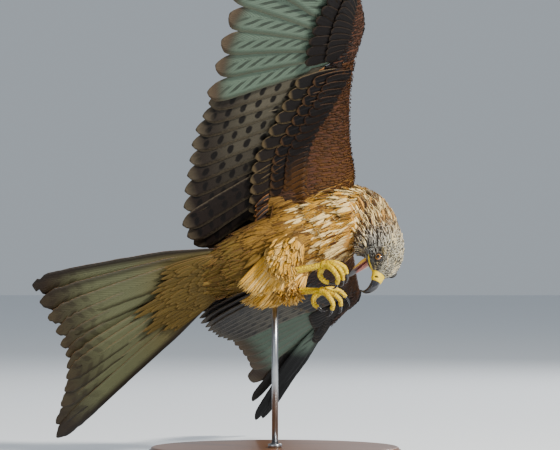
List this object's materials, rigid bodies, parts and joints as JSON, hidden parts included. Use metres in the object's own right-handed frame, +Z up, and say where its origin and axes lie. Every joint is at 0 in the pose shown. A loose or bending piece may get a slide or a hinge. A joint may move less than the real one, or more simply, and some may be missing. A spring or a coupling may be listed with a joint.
{
  "type": "red kite bird",
  "caption": "Life-size red kite banking in flight with wings and forked tail spread, head bent down to its raised feet, on a round display stand.",
  "frame": {"origin": "centre of the underside of the stand's round base", "axes": "+Z is up. The front view looks along +Y. The bird flies towards +X, banked, with its right wing raised and its left wing lowered towards +Y."},
  "size_m": [0.5733, 1.1266, 0.8687],
  "materials": {
    "plumage_body": "matte",
    "plumage_neck": "matte",
    "plumage_head": "matte",
    "plumage_thigh": "matte",
    "plumage_wing": "matte",
    "plumage_hand": "matte",
    "plumage_tail": "matte",
    "cere": "satin",
    "bill_horn": "gloss",
    "bill_lower": "satin",
    "mouth_flesh": "satin",
    "eye": "polished",
    "leg_skin": "satin",
    "claw_horn": "gloss",
    "stand_wood": "satin",
    "stand_steel": "satin"
  },
  "bodies": {
    "root": {"torso": "plumage_body", "neck": "plumage_neck", "head": "plumage_head", "bill_cere": "cere", "bill_hook": "bill_horn", "bill_lower": "bill_lower", "tongue": "mouth_flesh", "eye_right": "eye", "eye_left": "eye", "thigh_right": "plumage_thigh", "tarsus_right": "leg_skin", "foot_right": "leg_skin", "claw_right_1": "claw_horn", "claw_right_2": "claw_horn", "claw_right_3": "claw_horn", "claw_right_4": "claw_horn", "thigh_left": "plumage_thigh", "tarsus_left": "leg_skin", "foot_left": "leg_skin", "claw_left_1": "claw_horn", "claw_left_2": "claw_horn", "claw_left_3": "claw_horn", "claw_left_4": "claw_horn", "wing_right_arm": "plumage_wing", "wing_right_hand": "plumage_hand", "wing_left_arm": "plumage_wing", "wing_left_hand": "plumage_hand", "tail": "plumage_tail", "stand_base": "stand_wood", "stand_rod": "stand_steel"}
  },
  "joints": []
}
